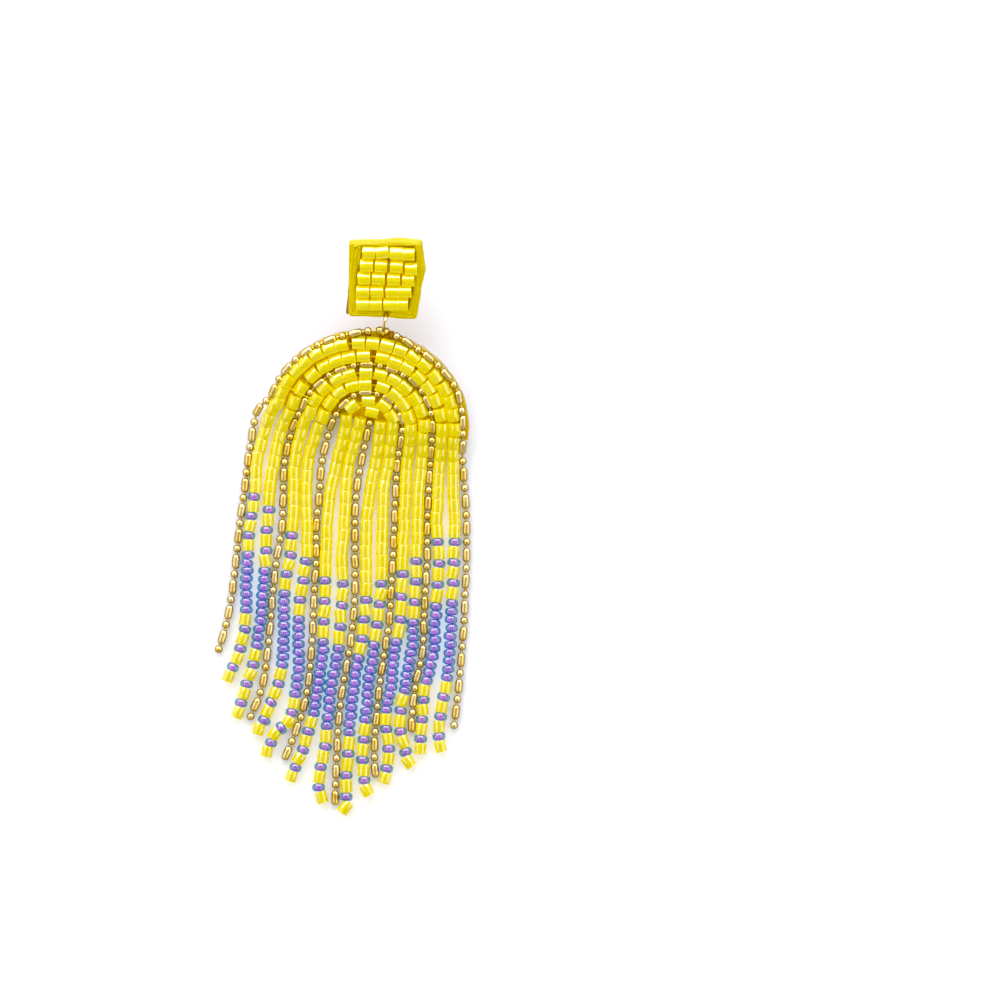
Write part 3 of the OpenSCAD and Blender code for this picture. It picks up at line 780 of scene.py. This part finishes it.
# The strings from left to right: height of the first seed bead, and of the first and last of the run of
# seed beads, how many of them, turn of the last bead in degrees, then the route seen from above
strings = [
    (4.6, -4.2, -12.9, 8, 8, [(-10.6, 19.2), (-12.2, 15), (-13.4, 10), (-13.8, 5), (-14.5, 0), (-14.9, -5),
                              (-15.1, -10), (-15.3, -15), (-16.4, -20), (-18.3, -24.1)]),
    (2.9, -7.0, -18.3, 10, -6, [(-8.2, 18.1), (-9.7, 15), (-10.8, 10), (-11.5, 5), (-11.9, 0), (-12.2, -5),
                                (-12.5, -10), (-13, -15), (-13.7, -20), (-15.2, -25), (-16.7, -29.8)]),
    (-1.1, -10.4, -21.1, 10, 12, [(-5.8, 16.9), (-6.5, 15), (-7.6, 10), (-7.8, 5), (-7.9, 0), (-8.4, -5),
                                  (-9.2, -10), (-9.4, -15), (-9.3, -20), (-10.3, -25), (-12.4, -30),
                                  (-13.6, -32.3)]),
    (-5.2, -14.3, -25.9, 10, 10, [(-3.7, 15.9), (-4.3, 14.5), (-5.5, 10), (-5.8, 5), (-5.7, 0), (-5.8, -5),
                                  (-6.6, -10), (-7, -15), (-7, -20), (-7.3, -25), (-8.4, -30), (-10.8, -32.4),
                                  (-12.2, -35.8)]),
    (-8.2, -17.7, -28.7, 10, 6, [(0.4, 17.3), (0.15, 15), (-1.05, 10), (-2.1, 5), (-2.6, 0), (-2.8, -5),
                                 (-2.9, -10), (-3.1, -15), (-3.3, -20), (-4.1, -25), (-5, -30), (-6.5, -35),
                                 (-8.5, -39.6)]),
    (-9.0, -18.8, -30.9, 10, -4, [(2.45, 16.75), (2.2, 15), (0.85, 10), (0.3, 5), (0.05, 0), (-0.3, -5),
                                  (-0.1, -10), (-0.6, -15), (-1, -20), (-1.9, -25), (-2.5, -30), (-3.1, -35),
                                  (-3.9, -40), (-3.2, -43)]),
    (-11.1, -20.5, -32.0, 10, -34, [(5.68, 16.25), (4.9, 10), (4, 5), (3.5, 0), (3.4, -5), (3.4, -10),
                                    (3.1, -15), (2.3, -20), (1.5, -25), (1, -30), (0.7, -35), (0.4, -40),
                                    (0.2, -44.7)]),
    (-8.9, -18.2, -29.9, 10, 6, [(7.68, 16.15), (6.9, 10), (6.15, 5), (6, 0), (5.9, -5), (5.8, -10),
                                 (5.2, -15), (4.5, -20), (3.8, -25), (3.4, -30), (2.9, -35), (3.3, -40),
                                 (4, -41.8)]),
    (-7.4, -17.7, -28.2, 10, -5, [(10.4, 14.3), (9.8, 10), (9.5, 5), (9.3, 0), (9.1, -5), (9, -10),
                                  (8.7, -15), (7.8, -20), (7.2, -25), (6.5, -30), (7, -35), (6.2, -40)]),
    (-5.1, -14.8, -25.4, 10, 12, [(12.3, 14.5), (12, 10), (11.6, 5), (11.4, 0), (11.3, -5), (11, -10),
                                  (10.8, -15), (10.4, -20), (9.4, -25), (8.7, -30), (9.5, -35),
                                  (10.4, -37.5)]),
    (-2.5, -12.1, -23.9, 10, 0, [(15.1, 13.95), (14.9, 10), (14.6, 5), (14.4, 0), (14.8, -5), (14.4, -10),
                                 (14.1, -15), (13.8, -20), (12.5, -25), (12.1, -30), (11.8, -35.4)]),
    (-2.4, -12.0, -23.4, 10, 10, [(17.05, 13.85), (16.9, 10), (17, 5), (17.2, 0), (17, -5), (16.8, -10),
                                  (16.6, -15), (16.4, -20), (15.8, -25), (14.8, -30), (15, -35.1)]),
]
plain_bead_r, pair_bead_r, lift = 0.94, 0.92, 0.015
bead_pitch, pairs, tail_beads = 1.98, 3, 4
# How far the loose beads turn on their thread at most, in degrees, and how near its end the last one is
most_turn, tip_l = 14, 1.2
# Seed beads are thicker than the string is drawn, so they are raised where it lies flat, and ever less so
# up to this height over the surface
seed_rest_h = 1.2
string_thread_r, thread_steps, first_inset, last_inset = 0.14, 60, 0.2, 0.3
for number, (first_seed, run_first, run_last, run_count, tip_turn, points) in enumerate(strings, 1):
    route = Route(hung(points, bead_w, bead_r))
    pair_start, run_start, run_stop = (route.where_y(y) for y in (first_seed, run_first, run_last))
    beads = []
    plain = pair_start - seed_l / 2
    count = round(plain / bead_pitch)
    beads += [("yellow", plain * (i + 0.5) / count, plain / count) for i in range(count)]
    pair = (run_start - pair_start) / pairs
    for i in range(pairs):
        beads.append(("seed", pair_start + i * pair, seed_l))
        beads.append(("yellow", pair_start + (i + 0.5) * pair, pair - seed_l))
    pitch = (run_stop - run_start) / (run_count - 1)
    beads += [("seed", run_start + i * pitch, pitch) for i in range(run_count)]
    tail = run_stop + pitch / 2
    long = (route.length - tail - (tail_beads - 1) * seed_l) / tail_beads
    for i in range(tail_beads):
        beads.append(("yellow", tail + long / 2 + i * (long + seed_l), long))
        if i < tail_beads - 1:
            beads.append(("seed", tail + long + seed_l / 2 + i * (long + seed_l), seed_l))
    parts, seeds = [], []
    for kind, s, length in beads:
        low = max(0.0, 1 - (route.at(s)[2] - bead_r) / seed_rest_h)
        aside = chance.uniform(-0.06, 0.06)
        if kind == "yellow":
            plain_part = s < pair_start
            turn = max(-most_turn, min(most_turn, chance.gauss(0, 1.5 if plain_part else 7)))
            if s > route.length - tip_l:
                turn = tip_turn
            radius = plain_bead_r if plain_part else pair_bead_r
            where = lay(route.at(s) + [aside, 0, radius - bead_r + lift], route.along(s), turn, (0, 0, 1))
            short = 0.0 if plain_part else chance.uniform(0.02, 0.07)
            parts.append((cylinder_bead(length - short, radius), where, 0))
        else:
            size = chance.uniform(0.98, 1.07)
            aside *= 2
            scale = np.array([length / seed_l * 0.99, size, size])
            turn, shift = lay(route.at(s) + [aside, 0, (seed_r * size - bead_r) * low], route.along(s),
                              chance.gauss(0, 8), (0, 0, 1))
            seeds.append((seed_glass, (turn * scale, shift), 0))
            seeds.append((seed_lining, (turn * scale, shift), 1))
    covered = np.linspace(first_inset, route.length - last_inset, thread_steps)
    parts.append((tube([route.at(s) for s in covered], string_thread_r), as_made, 1))
    piece = joined(f"string_{number}_cylinder_beads", parts, [loose_satin, thread])
    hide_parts(f"bead_string_{number}")
    joined(f"string_{number}_seed_beads", seeds, [lined, lining])

# Surface, light and camera.
# The earring lies on a smooth white table under a broad soft light from above its top end and two
# narrower ones along its sides. One more up there shows only as a highlight, a weak one fills in from
# the fringe's end, and the camera looks straight down.
floor_mesh = bpy.data.meshes.new("white_table")
half_span = 1.5
corners = [(x * half_span, y * half_span, 0) for x, y in ((-1, -1), (1, -1), (1, 1), (-1, 1))]
floor_mesh.from_pydata(corners, [], [(0, 1, 2, 3)])
floor = bpy.data.objects.new("white_table", floor_mesh)
bpy.context.scene.collection.objects.link(floor)
white = Finish("white_table", Roughness=0.7, Specular_IOR_Level=0.2, Emission_Color=(0.92, 0.95, 1, 1),
               Emission_Strength=0.14)
place = white.node("ShaderNodeTexCoord", output="Object")
cloud = white.noise(place, 40, 2)
white.set(Base_Color=white.ramp(cloud, [(0.3, (0.83, 0.83, 0.85)), (0.7, (0.85, 0.85, 0.87))]))
floor_mesh.materials.append(white.material)


def soft_light(name, azimuth, zenith, width, height, brightness, distance=0.6):
    """A softbox over the table: azimuth from +X, zenith from straight up, and the brightness of its cloth."""
    light = bpy.data.lights.new(name, "AREA")
    light.shape, light.size, light.size_y = "RECTANGLE", width, height
    light.energy = brightness * math.pi * width * height
    lamp = bpy.data.objects.new(name, light)
    a, z = math.radians(azimuth), math.radians(zenith)
    out = np.array([math.sin(z) * math.cos(a), math.sin(z) * math.sin(a), math.cos(z)])
    side = np.array([-math.sin(a), math.cos(a), 0])
    place = np.eye(4)
    place[:3, 0], place[:3, 1], place[:3, 2], place[:3, 3] = side, np.cross(out, side), out, distance * out
    lamp.matrix_world = Matrix(place.tolist())
    lamp.visible_camera = False
    bpy.context.scene.collection.objects.link(lamp)
    return lamp


soft_light("back_softbox", 104, 56, 0.85, 0.62, 3).visible_glossy = False
soft_light("left_softbox", 180, 52, 0.7, 0.4, 1.0)
soft_light("right_softbox", 0, 52, 0.7, 0.4, 1.4)
soft_light("back_highlight", 92, 57, 1.2, 0.72, 4.4).visible_diffuse = False
soft_light("front_fill", 270, 60, 1.2, 0.5, 0.8).visible_glossy = False


class Room(Finish):
    """The room beyond the softboxes."""

    def __init__(self, name):
        self.world = bpy.data.worlds.new(name)
        self.shade(self.world, "Background")


# It looks darker in the glass and the metal than the light that it gives
room = Room("studio")
in_gloss = room.node("ShaderNodeLightPath", output="Is Glossy Ray")
room.set(Color=room.blend(in_gloss, (0.38, 0.385, 0.42, 1), (0.24, 0.24, 0.26, 1)))
bpy.context.scene.world = room.world

view_width, lens, sensor = 0.155, 1000, 36
camera_data = bpy.data.cameras.new("camera")
camera_data.lens, camera_data.sensor_width = lens, sensor
camera = bpy.data.objects.new("camera", camera_data)
camera.location = (0.02418, 0.004, view_width * lens / sensor)
camera_data.clip_start, camera_data.clip_end = 0.01, 10
bpy.context.scene.collection.objects.link(camera)
bpy.context.scene.camera = camera
view = bpy.context.scene.view_settings
view.view_transform = "Standard"
view.use_curve_mapping = True
view.curve_mapping.black_level = (0.012, 0.012, 0.04)
view.curve_mapping.update()
